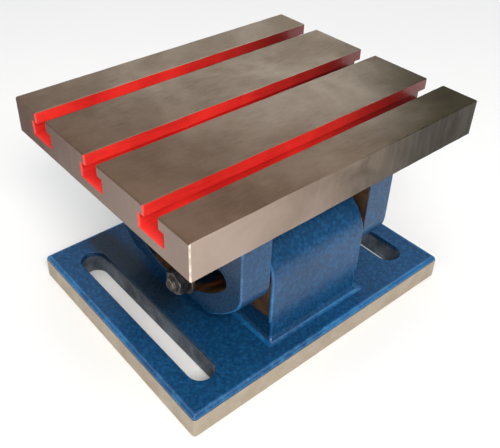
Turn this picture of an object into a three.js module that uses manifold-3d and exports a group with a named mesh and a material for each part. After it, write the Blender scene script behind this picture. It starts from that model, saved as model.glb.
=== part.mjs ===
// Tilting T-slot table: a slotted work table on two hanging ears that swing about
// a shaft through a cast pedestal, and clamp on studs in two concentric slots.
// Millimetres. The origin is the centre of the base's underside, +Z is up, +X runs
// along the T-slots and -Y is the front. The table tilts about a line along X.

import * as THREE from 'three';
import { mergeVertices } from 'three/addons/utils/BufferGeometryUtils.js';
import Module from 'manifold-3d';

const wasm = await Module();
wasm.setup();

// ---- Driving dimensions ---------------------------------------------------

const ROUND = 32;              // sides of a large turned part
const SMALL_ROUND = 16;        // sides of a fastener

const LENGTH = 250;            // table and base, along X
const WIDTH = 200;             // table and base, along Y
const BASE_T = 20;
const TABLE_T = 27;
const TABLE_TOP = 164;
const TABLE_BOTTOM = TABLE_TOP - TABLE_T;

const PIVOT_Z = 120;           // height of the tilt axis
const SEAT_GAP = 0.3;          // left between faces that rest on each other
const FIT_GAP = 0.2;           // radial, round a pin that is fixed in its hole
const RUN_GAP = 0.08;          // radial, round a pin that turns in its hole

// T-slots in the table
const TEE_PITCH = 64;
const TEE_NECK_W = 14;
const TEE_NECK_DEPTH = 8.5;
const TEE_W = 24;
const TEE_DEPTH = 18;

// bolt-down slots through the base
const BASE_SLOT_X = 97;
const BASE_SLOT_W = 20;
const BASE_SLOT_L = 160;

// pedestal
const PED_HALF_X = 43;         // painted flanks
const PAD_HALF_X = 44.5;       // milled flank faces that the ears slide past
const PAD_FOOT_Z = 38;
const PED_HALF_Y = 81.5;
const PED_SHOULDER_Z = 74;     // where the upright front starts to curve back
const PED_CROWN_R = 15.8;      // round the shaft, just under the table
const ROOF_SLOPE = Math.PI / 6;
const ROOF_START_Y = 62;       // where the shoulder's curve meets the roof
const FOOT_R = 5;              // cast curve between pedestal and base
const CORE_HALF_X = 30;        // hollow cast up into the pedestal
const CORE_HALF_Y = 60;
const CORE_WALL_Z = 68;
const CORE_TOP_Z = 99;
const CORE_TOP_HALF_Y = 18;

// ears
const EAR_IN = 46;
const EAR_OUT = 71;
const EAR_HALF_Y = 80;
const EAR_R = 95;              // lower outline, about the tilt axis
const EAR_FLAT_Z = 36;
const EAR_CORNER_DROP = 8;     // eased corner between front face and lower outline
const ARC_R = 71;              // centre line of the clamping slot
const ARC_W = 16;
const ARC_HALF_ANGLE = THREE.MathUtils.degToRad(53);

// shaft, its set screw, bushes and thrust washers
const SHAFT_R = 8;
const SHAFT_OUT = 74.2;        // right end, past the angle scale
const SHAFT_END_CHAMFER = 1;
const SHAFT_SCREW_R = 3;
const SHAFT_SCREW_L = 6.2;
const BUSH_R = 10;
const THRUST_R = 15.4;

// clamps, set forward of the middle where a hand reaches them
const CLAMP_ANGLE = THREE.MathUtils.degToRad(16);
const STUD_R = 5;
const STUD_IN = 31;
const STUD_OUT = 85.5;
const STUD_END_CHAMFER = 1;
const WASHER_R = 12;
const WASHER_T = 2.5;
const NUT_FLATS = 17;
const NUT_T = 8;
const NUT_CHAMFER = 1.2;

// table-to-ear fasteners
const EAR_SCREW_R = 3;
const EAR_SCREW_HEAD_R = 6;
const EAR_SCREW_HEAD_H = 3.4;
const EAR_SCREW_RIM = 0.4;     // short upright rim above the countersink
const EAR_SCREW_L = 25;
const DRILL_PAST_SCREW = 2;
const EAR_SCREW_X = [51.5, 65.5];
const DOWEL_R = 4;
const DOWEL_Y = 32;
const DOWEL_HALF_L = 8;
const DOWEL_CHAMFER = 0.6;
const DRILL_PAST_DOWEL = 0.5;
const EAR_MID_X = (EAR_IN + EAR_OUT) / 2;

// angle scale and its pointer
const SCALE_R_IN = 20;
const SCALE_R_OUT = 33;
const SCALE_HALF_ANGLE = THREE.MathUtils.degToRad(42);
const SCALE_T = 1.2;
const SCALE_FACE = EAR_OUT + SEAT_GAP + SCALE_T;
const SCALE_SCREW_R = 1.5;
const SCALE_SCREW_IN = EAR_OUT - 8;
const SCALE_SCREW_ANGLE = THREE.MathUtils.degToRad(37);
const SCALE_HEAD_R = 2.6;
const SCALE_HEAD_TOP_R = 2.2;
const SCALE_HEAD_H = 1.4;
const POINTER_T = 1.5;
const POINTER_FROM = SHAFT_OUT + SEAT_GAP;
const POINTER_TO = POINTER_FROM + POINTER_T;
const POINTER_HUB_R = 8;
const POINTER_TIP_R = 29;
const POINTER_TIP_HALF_W = 0.6;
const POINTER_SCREW_R = 2.5;
const POINTER_SCREW_IN = SHAFT_OUT - 12;
const POINTER_HEAD_R = 4.5;
const POINTER_HEAD_TOP_R = 3.6;
const POINTER_RIM_H = 2.2;
const POINTER_HEAD_H = 3;

// ---- Materials ------------------------------------------------------------

const finish = (color, roughness, metalness) =>
  new THREE.MeshStandardMaterial({ color, roughness, metalness });

const finishes = {
  groundIron: finish(0x8c7d6c, 0.45, 0.85),
  bluePaint: finish(0x1d4b87, 0.4, 0.0),
  steel: finish(0x5c5a58, 0.4, 0.9),
  blackSteel: finish(0x2b2a2a, 0.5, 0.8),
  bronze: finish(0xa8763a, 0.4, 0.9),
  scalePlate: finish(0xc9c9c4, 0.35, 0.8),
};

// ---- Solids ---------------------------------------------------------------

function toSolid(geometry) {
  geometry.deleteAttribute('normal');
  geometry.deleteAttribute('uv');
  const merged = mergeVertices(geometry, 1e-4);
  return new wasm.Manifold(new wasm.Mesh({
    numProp: 3,
    vertProperties: new Float32Array(merged.attributes.position.array),
    triVerts: new Uint32Array(merged.index.array),
  }));
}

function toGeometry(solid) {
  const mesh = solid.getMesh();
  const geometry = new THREE.BufferGeometry();
  geometry.setAttribute('position', new THREE.BufferAttribute(mesh.vertProperties, 3));
  geometry.setIndex(new THREE.BufferAttribute(mesh.triVerts, 1));
  geometry.computeVertexNormals();
  return geometry;
}

const AXIS = {
  x: new THREE.Vector3(1, 0, 0),
  y: new THREE.Vector3(0, 1, 0),
  z: new THREE.Vector3(0, 0, 1),
};

// A flat outline pushed along X (drawn in Y, Z), along Y (in Z, X) or along Z (in X, Y).
const DRAWN_IN = {
  x: new THREE.Matrix4().makeBasis(AXIS.y, AXIS.z, AXIS.x),
  y: new THREE.Matrix4().makeBasis(AXIS.z, AXIS.x, AXIS.y),
  z: new THREE.Matrix4(),
};

function prism(shape, axis, from, to, curveSegments = 12) {
  const geometry = new THREE.ExtrudeGeometry(shape, {
    depth: to - from,
    bevelEnabled: false,
    curveSegments,
  });
  geometry.translate(0, 0, from);
  geometry.applyMatrix4(DRAWN_IN[axis]);
  return toSolid(geometry);
}

function block(xFrom, xTo, yFrom, yTo, zFrom, zTo) {
  const geometry = new THREE.BoxGeometry(xTo - xFrom, yTo - yFrom, zTo - zFrom);
  geometry.translate((xFrom + xTo) / 2, (yFrom + yTo) / 2, (zFrom + zTo) / 2);
  return toSolid(geometry);
}

// A body of revolution: profile points are [radius, distance along the axis], from
// the low end to the high end, and at is where the axis passes.
const TURNED_ABOUT = {
  x: new THREE.Matrix4().makeBasis(AXIS.z, AXIS.x, AXIS.y),
  z: new THREE.Matrix4().makeBasis(AXIS.x, AXIS.z, AXIS.y.clone().negate()),
};

function turned(profile, axis, at, segments = ROUND) {
  const points = profile.map(([radius, along]) => new THREE.Vector2(radius, along));
  const geometry = new THREE.LatheGeometry(points, segments);
  geometry.applyMatrix4(TURNED_ABOUT[axis]);
  geometry.translate(...at);
  return toSolid(geometry);
}

function rod(radius, from, to, axis, at, segments = ROUND) {
  return turned([[0, from], [radius, from], [radius, to], [0, to]], axis, at, segments);
}

function chamferedRod(radius, from, to, axis, at, chamfer, segments = ROUND) {
  const profile = [
    [0, from],
    [radius - chamfer, from],
    [radius, from + chamfer],
    [radius, to - chamfer],
    [radius - chamfer, to],
    [0, to],
  ];
  return turned(profile, axis, at, segments);
}

function ring(outer, inner, from, to, axis, at, segments = ROUND) {
  const profile = [[inner, from], [outer, from], [outer, to], [inner, to], [inner, from]];
  return turned(profile, axis, at, segments);
}

function outline(points) {
  return new THREE.Shape(points.map(([u, v]) => new THREE.Vector2(u, v)));
}

const assembly = new THREE.Group();

function add(name, solid, material) {
  const mesh = new THREE.Mesh(toGeometry(solid), material.clone());
  mesh.name = name;
  assembly.add(mesh);
}

const SIDES = [
  { side: 'left', sign: -1 },
  { side: 'right', sign: 1 },
];

// Two distances from the middle, ordered as a from-to pair on one side of it.
const span = (sign, near, far) => (sign > 0 ? [near, far] : [-far, -near]);

const onTiltAxis = [0, 0, PIVOT_Z];
const onClampAxis = [
  0,
  -ARC_R * Math.sin(CLAMP_ANGLE),
  PIVOT_Z - ARC_R * Math.cos(CLAMP_ANGLE),
];

// ---- Base casting ---------------------------------------------------------

// Front-to-back profile: foot curve, upright front, curved shoulder, sloping roof
// and a round crown over the shaft.
function pedestalProfile() {
  const shape = new THREE.Shape();
  const crownY = PED_CROWN_R * Math.sin(ROOF_SLOPE);
  const crownZ = PIVOT_Z + PED_CROWN_R * Math.cos(ROOF_SLOPE);
  const roofZ = (y) => crownZ - (y - crownY) * Math.tan(ROOF_SLOPE);
  const eavesZ = roofZ(PED_HALF_Y);
  const footY = PED_HALF_Y + FOOT_R;
  const footZ = BASE_T + FOOT_R;
  shape.moveTo(-footY, 0);
  shape.lineTo(footY, 0);
  shape.lineTo(footY, BASE_T);
  shape.absarc(footY, footZ, FOOT_R, 1.5 * Math.PI, Math.PI, true);
  shape.lineTo(PED_HALF_Y, PED_SHOULDER_Z);
  shape.quadraticCurveTo(PED_HALF_Y, eavesZ, ROOF_START_Y, roofZ(ROOF_START_Y));
  shape.absarc(0, PIVOT_Z, PED_CROWN_R, Math.PI / 2 - ROOF_SLOPE, Math.PI / 2 + ROOF_SLOPE, false);
  shape.lineTo(-ROOF_START_Y, roofZ(ROOF_START_Y));
  shape.quadraticCurveTo(-PED_HALF_Y, eavesZ, -PED_HALF_Y, PED_SHOULDER_Z);
  shape.lineTo(-PED_HALF_Y, footZ);
  shape.absarc(-footY, footZ, FOOT_R, 0, 1.5 * Math.PI, true);
  return shape;
}

// Side-to-side profile, drawn in Z, X: foot curve, flank and milled pad.
function flankProfile() {
  const shape = new THREE.Shape();
  const footX = PED_HALF_X + FOOT_R;
  const footZ = BASE_T + FOOT_R;
  const padStep = PAD_HALF_X - PED_HALF_X;
  shape.moveTo(0, -footX);
  shape.lineTo(BASE_T, -footX);
  shape.absarc(footZ, -footX, FOOT_R, Math.PI, Math.PI / 2, true);
  shape.lineTo(PAD_FOOT_Z - padStep, -PED_HALF_X);
  shape.lineTo(PAD_FOOT_Z, -PAD_HALF_X);
  shape.lineTo(TABLE_TOP, -PAD_HALF_X);
  shape.lineTo(TABLE_TOP, PAD_HALF_X);
  shape.lineTo(PAD_FOOT_Z, PAD_HALF_X);
  shape.lineTo(PAD_FOOT_Z - padStep, PED_HALF_X);
  shape.lineTo(footZ, PED_HALF_X);
  shape.absarc(footZ, footX, FOOT_R, 1.5 * Math.PI, Math.PI, true);
  shape.lineTo(0, footX);
  return shape;
}

function coreHollow() {
  const shape = outline([
    [-CORE_HALF_Y, -1],
    [CORE_HALF_Y, -1],
    [CORE_HALF_Y, CORE_WALL_Z],
    [CORE_TOP_HALF_Y, CORE_TOP_Z],
    [-CORE_TOP_HALF_Y, CORE_TOP_Z],
    [-CORE_HALF_Y, CORE_WALL_Z],
  ]);
  return prism(shape, 'x', -CORE_HALF_X, CORE_HALF_X);
}

function boltDownSlot(x) {
  const shape = new THREE.Shape();
  const r = BASE_SLOT_W / 2;
  const straight = BASE_SLOT_L / 2 - r;
  shape.moveTo(x + r, -straight);
  shape.lineTo(x + r, straight);
  shape.absarc(x, straight, r, 0, Math.PI, false);
  shape.lineTo(x - r, -straight);
  shape.absarc(x, -straight, r, Math.PI, 2 * Math.PI, false);
  return prism(shape, 'z', -1, BASE_T + 1);
}

function baseCasting() {
  const reach = PED_HALF_X + 20;
  let casting = prism(pedestalProfile(), 'x', -reach, reach, 8)
    .intersect(prism(flankProfile(), 'y', -WIDTH / 2, WIDTH / 2, 6))
    .add(block(-LENGTH / 2, LENGTH / 2, -WIDTH / 2, WIDTH / 2, 0, BASE_T))
    .subtract(coreHollow())
    .subtract(boltDownSlot(-BASE_SLOT_X))
    .subtract(boltDownSlot(BASE_SLOT_X))
    .subtract(rod(SHAFT_R + FIT_GAP, -reach, reach, 'x', onTiltAxis))
    .subtract(rod(SHAFT_SCREW_R + FIT_GAP, PIVOT_Z, TABLE_BOTTOM, 'z', [0, 0, 0], SMALL_ROUND));
  for (const { sign } of SIDES) {
    const [from, to] = span(sign, CORE_HALF_X - 1, PAD_HALF_X + 1);
    casting = casting.subtract(rod(STUD_R + FIT_GAP, from, to, 'x', onClampAxis));
  }
  return casting;
}

add('base_casting', baseCasting(), finishes.bluePaint);

// ---- Table plate ----------------------------------------------------------

function teeSlots() {
  const shape = new THREE.Shape();
  const half = WIDTH / 2;
  const neckZ = TABLE_TOP - TEE_NECK_DEPTH;
  const floorZ = TABLE_TOP - TEE_DEPTH;
  shape.moveTo(-half, TABLE_BOTTOM);
  shape.lineTo(half, TABLE_BOTTOM);
  shape.lineTo(half, TABLE_TOP);
  for (const y of [TEE_PITCH, 0, -TEE_PITCH]) {
    shape.lineTo(y + TEE_NECK_W / 2, TABLE_TOP);
    shape.lineTo(y + TEE_NECK_W / 2, neckZ);
    shape.lineTo(y + TEE_W / 2, neckZ);
    shape.lineTo(y + TEE_W / 2, floorZ);
    shape.lineTo(y - TEE_W / 2, floorZ);
    shape.lineTo(y - TEE_W / 2, neckZ);
    shape.lineTo(y - TEE_NECK_W / 2, neckZ);
    shape.lineTo(y - TEE_NECK_W / 2, TABLE_TOP);
  }
  shape.lineTo(-half, TABLE_TOP);
  return shape;
}

// Head up, its flat top just under the T-slot floor. The hole for it is the same
// shape grown a little, and open at the top.
function earScrewShape(x, y, grow, lift) {
  const top = TABLE_TOP - TEE_DEPTH - SEAT_GAP;
  const shank = EAR_SCREW_R + grow;
  const head = EAR_SCREW_HEAD_R + grow;
  const profile = [
    [0, top - EAR_SCREW_L],
    [shank, top - EAR_SCREW_L],
    [shank, top - EAR_SCREW_HEAD_H],
    [head, top - EAR_SCREW_RIM],
    [head, top + lift],
    [0, top + lift],
  ];
  return turned(profile, 'z', [x, y, 0], SMALL_ROUND);
}

const earScrewPlaces = SIDES.flatMap(({ side, sign }) =>
  [-TEE_PITCH, TEE_PITCH].flatMap((y) =>
    EAR_SCREW_X.map((x) => ({ side, x: sign * x, y }))));

const dowelPlaces = SIDES.flatMap(({ side, sign }) =>
  [-DOWEL_Y, DOWEL_Y].map((y) => ({ side, x: sign * EAR_MID_X, y })));

function dowelHole({ x, y }) {
  const reach = DOWEL_HALF_L + DRILL_PAST_DOWEL;
  const at = [x, y, 0];
  return rod(
    DOWEL_R + FIT_GAP, TABLE_BOTTOM - reach, TABLE_BOTTOM + reach, 'z', at, SMALL_ROUND);
}

function tablePlate() {
  let plate = prism(teeSlots(), 'x', -LENGTH / 2, LENGTH / 2);
  for (const { x, y } of earScrewPlaces) {
    plate = plate.subtract(earScrewShape(x, y, FIT_GAP, 1));
  }
  for (const place of dowelPlaces) {
    plate = plate.subtract(dowelHole(place));
  }
  return plate;
}

add('table_plate', tablePlate(), finishes.groundIron);

// ---- Ears -----------------------------------------------------------------

function pointOnArc(radius, angle) {
  return new THREE.Vector2(radius * Math.sin(angle), PIVOT_Z - radius * Math.cos(angle));
}

function earOutline() {
  const shape = new THREE.Shape();
  const top = TABLE_BOTTOM - SEAT_GAP;
  const flatAngle = Math.acos((PIVOT_Z - EAR_FLAT_Z) / EAR_R);
  const sideAngle = Math.asin(EAR_HALF_Y / EAR_R);
  const cornerAngle = sideAngle - EAR_CORNER_DROP / EAR_R;
  const corner = pointOnArc(EAR_R, sideAngle);
  const arcEnd = pointOnArc(EAR_R, cornerAngle);
  shape.moveTo(-EAR_HALF_Y, top);
  shape.lineTo(-EAR_HALF_Y, corner.y + EAR_CORNER_DROP);
  shape.quadraticCurveTo(-EAR_HALF_Y, corner.y, -arcEnd.x, arcEnd.y);
  const down = 1.5 * Math.PI;
  shape.absarc(0, PIVOT_Z, EAR_R, down - cornerAngle, down - flatAngle, false);
  shape.absarc(0, PIVOT_Z, EAR_R, down + flatAngle, down + cornerAngle, false);
  shape.quadraticCurveTo(EAR_HALF_Y, corner.y, EAR_HALF_Y, corner.y + EAR_CORNER_DROP);
  shape.lineTo(EAR_HALF_Y, top);
  return shape;
}

// Clamping slot: an arc band about the tilt axis with round ends.
function arcSlot() {
  const shape = new THREE.Shape();
  const half = ARC_W / 2;
  const down = 1.5 * Math.PI;
  const start = down - ARC_HALF_ANGLE;
  const end = down + ARC_HALF_ANGLE;
  const endCentre = pointOnArc(ARC_R, ARC_HALF_ANGLE);
  shape.absarc(0, PIVOT_Z, ARC_R + half, start, end, false);
  shape.absarc(endCentre.x, endCentre.y, half, end, end + Math.PI, false);
  shape.absarc(0, PIVOT_Z, ARC_R - half, end, start, true);
  shape.absarc(-endCentre.x, endCentre.y, half, start + Math.PI, start + 2 * Math.PI, false);
  return shape;
}

const scaleScrewPlaces = [-1, 1].map((sign) => {
  const middle = (SCALE_R_IN + SCALE_R_OUT) / 2;
  return pointOnArc(middle, sign * SCALE_SCREW_ANGLE);
});

function ear(side, sign) {
  const [from, to] = span(sign, EAR_IN, EAR_OUT);
  let body = prism(earOutline(), 'x', from, to)
    .subtract(prism(arcSlot(), 'x', from - 1, to + 1))
    .subtract(rod(BUSH_R + FIT_GAP, from - 1, to + 1, 'x', onTiltAxis));
  for (const place of earScrewPlaces.filter((screw) => screw.side === side)) {
    const floor = TABLE_TOP - TEE_DEPTH - EAR_SCREW_L - DRILL_PAST_SCREW;
    const at = [place.x, place.y, 0];
    const drilled = rod(
      EAR_SCREW_R + FIT_GAP, floor, TABLE_BOTTOM + 1, 'z', at, SMALL_ROUND);
    body = body.subtract(drilled);
  }
  for (const place of dowelPlaces.filter((dowel) => dowel.side === side)) {
    body = body.subtract(dowelHole(place));
  }
  if (side === 'right') {
    for (const place of scaleScrewPlaces) {
      const at = [0, place.x, place.y];
      const drilled = rod(
        SCALE_SCREW_R + FIT_GAP, SCALE_SCREW_IN - 1, EAR_OUT + 1, 'x', at, SMALL_ROUND);
      body = body.subtract(drilled);
    }
  }
  return body;
}

for (const { side, sign } of SIDES) {
  add(`${side}_ear`, ear(side, sign), finishes.bluePaint);
}

// ---- Table fasteners ------------------------------------------------------

earScrewPlaces.forEach(({ side, x, y }, index) => {
  const number = (index % 4) + 1;
  add(`${side}_ear_screw_${number}`, earScrewShape(x, y, 0, 0), finishes.blackSteel);
});

dowelPlaces.forEach(({ side, x, y }, index) => {
  const number = (index % 2) + 1;
  const low = TABLE_BOTTOM - DOWEL_HALF_L;
  const high = TABLE_BOTTOM + DOWEL_HALF_L;
  const pin = chamferedRod(DOWEL_R, low, high, 'z', [x, y, 0], DOWEL_CHAMFER, SMALL_ROUND);
  add(`${side}_dowel_${number}`, pin, finishes.steel);
});

// ---- Tilt shaft, bushes and thrust washers --------------------------------

function tiltShaft() {
  const drilled = rod(
    POINTER_SCREW_R + FIT_GAP, POINTER_SCREW_IN - 1, SHAFT_OUT + 1, 'x', onTiltAxis, SMALL_ROUND);
  return chamferedRod(SHAFT_R, -EAR_OUT, SHAFT_OUT, 'x', onTiltAxis, SHAFT_END_CHAMFER)
    .subtract(drilled);
}

function shaftSetScrew() {
  const low = PIVOT_Z + SHAFT_R + SEAT_GAP;
  return rod(SHAFT_SCREW_R, low, low + SHAFT_SCREW_L, 'z', [0, 0, 0], SMALL_ROUND);
}

add('tilt_shaft', tiltShaft(), finishes.steel);
add('shaft_set_screw', shaftSetScrew(), finishes.blackSteel);

for (const { side, sign } of SIDES) {
  const [bushFrom, bushTo] = span(sign, EAR_IN + FIT_GAP, EAR_OUT - FIT_GAP);
  const bush = ring(BUSH_R, SHAFT_R + RUN_GAP, bushFrom, bushTo, 'x', onTiltAxis);
  add(`${side}_bush`, bush, finishes.bronze);
  const [washerFrom, washerTo] = span(sign, PAD_HALF_X + FIT_GAP, EAR_IN - FIT_GAP);
  const washer = ring(THRUST_R, SHAFT_R + FIT_GAP, washerFrom, washerTo, 'x', onTiltAxis);
  add(`${side}_thrust_washer`, washer, finishes.bronze);
}

// ---- Clamps ---------------------------------------------------------------

function hexNut(from, to) {
  const corner = NUT_FLATS / Math.sqrt(3);
  const hexagon = outline([0, 1, 2, 3, 4, 5].map((k) => {
    const angle = Math.PI / 6 + (k * Math.PI) / 3;
    return [onClampAxis[1] + corner * Math.cos(angle), onClampAxis[2] + corner * Math.sin(angle)];
  }));
  const easing = chamferedRod(corner, from, to, 'x', onClampAxis, NUT_CHAMFER);
  return prism(hexagon, 'x', from, to)
    .intersect(easing)
    .subtract(rod(STUD_R + FIT_GAP, from - 1, to + 1, 'x', onClampAxis));
}

for (const { side, sign } of SIDES) {
  const [studFrom, studTo] = span(sign, STUD_IN, STUD_OUT);
  const stud = chamferedRod(STUD_R, studFrom, studTo, 'x', onClampAxis, STUD_END_CHAMFER);
  add(`${side}_clamp_stud`, stud, finishes.steel);
  const washerAt = EAR_OUT + SEAT_GAP;
  const [washerFrom, washerTo] = span(sign, washerAt, washerAt + WASHER_T);
  const washer = ring(WASHER_R, STUD_R + FIT_GAP, washerFrom, washerTo, 'x', onClampAxis);
  add(`${side}_clamp_washer`, washer, finishes.steel);
  const nutAt = washerAt + WASHER_T + SEAT_GAP;
  const [nutFrom, nutTo] = span(sign, nutAt, nutAt + NUT_T);
  add(`${side}_clamp_nut`, hexNut(nutFrom, nutTo), finishes.blackSteel);
}

// ---- Angle scale and pointer ----------------------------------------------

function scalePlate() {
  const shape = new THREE.Shape();
  const down = 1.5 * Math.PI;
  const start = down - SCALE_HALF_ANGLE;
  const end = down + SCALE_HALF_ANGLE;
  shape.absarc(0, PIVOT_Z, SCALE_R_OUT, start, end, false);
  shape.absarc(0, PIVOT_Z, SCALE_R_IN, end, start, true);
  const from = EAR_OUT + SEAT_GAP;
  let plate = prism(shape, 'x', from, from + SCALE_T);
  for (const place of scaleScrewPlaces) {
    const at = [0, place.x, place.y];
    plate = plate.subtract(rod(SCALE_SCREW_R + FIT_GAP, from - 1, from + 3, 'x', at, SMALL_ROUND));
  }
  return plate;
}

function scaleScrew(place) {
  const profile = [
    [0, SCALE_SCREW_IN],
    [SCALE_SCREW_R, SCALE_SCREW_IN],
    [SCALE_SCREW_R, SCALE_FACE + FIT_GAP],
    [SCALE_HEAD_R, SCALE_FACE + FIT_GAP],
    [SCALE_HEAD_TOP_R, SCALE_FACE + SCALE_HEAD_H],
    [0, SCALE_FACE + SCALE_HEAD_H],
  ];
  return turned(profile, 'x', [0, place.x, place.y], SMALL_ROUND);
}

function pointer() {
  const shape = new THREE.Shape();
  const shoulder = Math.PI / 4;
  const down = 1.5 * Math.PI;
  shape.absarc(0, PIVOT_Z, POINTER_HUB_R, down + shoulder, down - shoulder + 2 * Math.PI, false);
  shape.lineTo(-POINTER_TIP_HALF_W, PIVOT_Z - POINTER_TIP_R);
  shape.lineTo(POINTER_TIP_HALF_W, PIVOT_Z - POINTER_TIP_R);
  const hole = rod(
    POINTER_SCREW_R + FIT_GAP, POINTER_FROM - 1, POINTER_TO + 1, 'x', onTiltAxis, SMALL_ROUND);
  return prism(shape, 'x', POINTER_FROM, POINTER_TO).subtract(hole);
}

function pointerScrew() {
  const profile = [
    [0, POINTER_SCREW_IN],
    [POINTER_SCREW_R, POINTER_SCREW_IN],
    [POINTER_SCREW_R, POINTER_TO + FIT_GAP],
    [POINTER_HEAD_R, POINTER_TO + FIT_GAP],
    [POINTER_HEAD_R, POINTER_TO + POINTER_RIM_H],
    [POINTER_HEAD_TOP_R, POINTER_TO + POINTER_HEAD_H],
    [0, POINTER_TO + POINTER_HEAD_H],
  ];
  return turned(profile, 'x', onTiltAxis, SMALL_ROUND);
}

add('angle_scale', scalePlate(), finishes.scalePlate);
scaleScrewPlaces.forEach((place, index) => {
  add(`scale_screw_${index + 1}`, scaleScrew(place), finishes.steel);
});
add('pointer', pointer(), finishes.blackSteel);
add('pointer_screw', pointerScrew(), finishes.steel);

export default assembly;
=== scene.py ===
"""Looks for the tilting T-slot table: ground iron, hammered blue enamel, red slot paint."""
import math
import random

import bmesh
import bpy
from mathutils import Matrix, Vector
from mathutils.geometry import tessellate_polygon


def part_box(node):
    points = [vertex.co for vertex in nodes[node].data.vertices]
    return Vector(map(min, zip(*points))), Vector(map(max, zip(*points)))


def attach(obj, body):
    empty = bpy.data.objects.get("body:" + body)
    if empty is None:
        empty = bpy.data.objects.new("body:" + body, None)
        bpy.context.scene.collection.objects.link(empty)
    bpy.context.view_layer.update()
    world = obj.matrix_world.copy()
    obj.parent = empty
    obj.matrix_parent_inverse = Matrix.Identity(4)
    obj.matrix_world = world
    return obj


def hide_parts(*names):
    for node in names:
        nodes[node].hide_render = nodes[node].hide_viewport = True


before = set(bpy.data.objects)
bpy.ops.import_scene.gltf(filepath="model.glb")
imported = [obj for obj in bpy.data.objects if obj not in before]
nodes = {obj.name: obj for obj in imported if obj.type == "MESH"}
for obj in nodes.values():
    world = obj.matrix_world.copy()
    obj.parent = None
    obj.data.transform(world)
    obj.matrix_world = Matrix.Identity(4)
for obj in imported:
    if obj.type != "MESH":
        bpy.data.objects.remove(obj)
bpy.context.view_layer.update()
dice = random.Random(11)


def mm(value):
    return value * 0.001


# ---- Places taken from the frame ---------------------------------------------

table_low, table_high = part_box("table_plate")
base_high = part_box("base_casting")[1]
ear_low, ear_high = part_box("right_ear")
shaft_low, shaft_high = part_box("tilt_shaft")
stud_low, stud_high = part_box("right_clamp_stud")
washer_low, washer_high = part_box("right_clamp_washer")
nut_low, nut_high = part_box("right_clamp_nut")
scale_low, scale_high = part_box("angle_scale")

PIVOT_Z = (shaft_low.z + shaft_high.z) / 2
CLAMP_Y = (stud_low.y + stud_high.y) / 2
CLAMP_Z = (stud_low.z + stud_high.z) / 2
CLAMP_AXIS = (0, CLAMP_Y, CLAMP_Z)

# ---- Sizes that the frame's boxes don't hold ----------------------------------

BASE_T = mm(20)
BASE_SLOT_X = mm(97)
BASE_SLOT_W = mm(20)
BASE_SLOT_L = mm(160)
PEDESTAL_HALF_X = mm(43)
PAD_HALF_X = mm(44.5)
PAD_FOOT_Z = mm(38)
PEDESTAL_HALF_Y = mm(81.5)
SHOULDER_Z = mm(74)
ROOF_START_Y = mm(62)
ROOF_SLOPE = math.radians(30)
FOOT_R = mm(5)
CORE_HALF_X = mm(30)
CORE_HALF_Y = mm(60)
CORE_WALL_Z = mm(68)
CORE_TOP_Z = mm(99)
CORE_TOP_HALF_Y = mm(18)
CORE_CORNER_R = mm(4)

TEE_PITCH = mm(64)
TEE_NECK_W = mm(14)
TEE_NECK_DEPTH = mm(8.5)
TEE_W = mm(24)
TEE_DEPTH = mm(18)

EAR_R = mm(95)
EAR_CORNER_DROP = mm(8)
ARC_R = math.hypot(CLAMP_Y, PIVOT_Z - CLAMP_Z)
ARC_W = mm(16)
ARC_HALF_ANGLE = math.radians(53)
BUSH_HOLE_R = mm(10.2)

SCALE_R_IN = mm(20)
SCALE_R_OUT = mm(33)
SCALE_HALF_ANGLE = math.radians(42)
SCALE_SCREW_ANGLE = math.radians(37)
SCALE_HOLE_R = mm(1.7)
SCALE_DEGREES = 30


# ---- Shader building ----------------------------------------------------------

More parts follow.
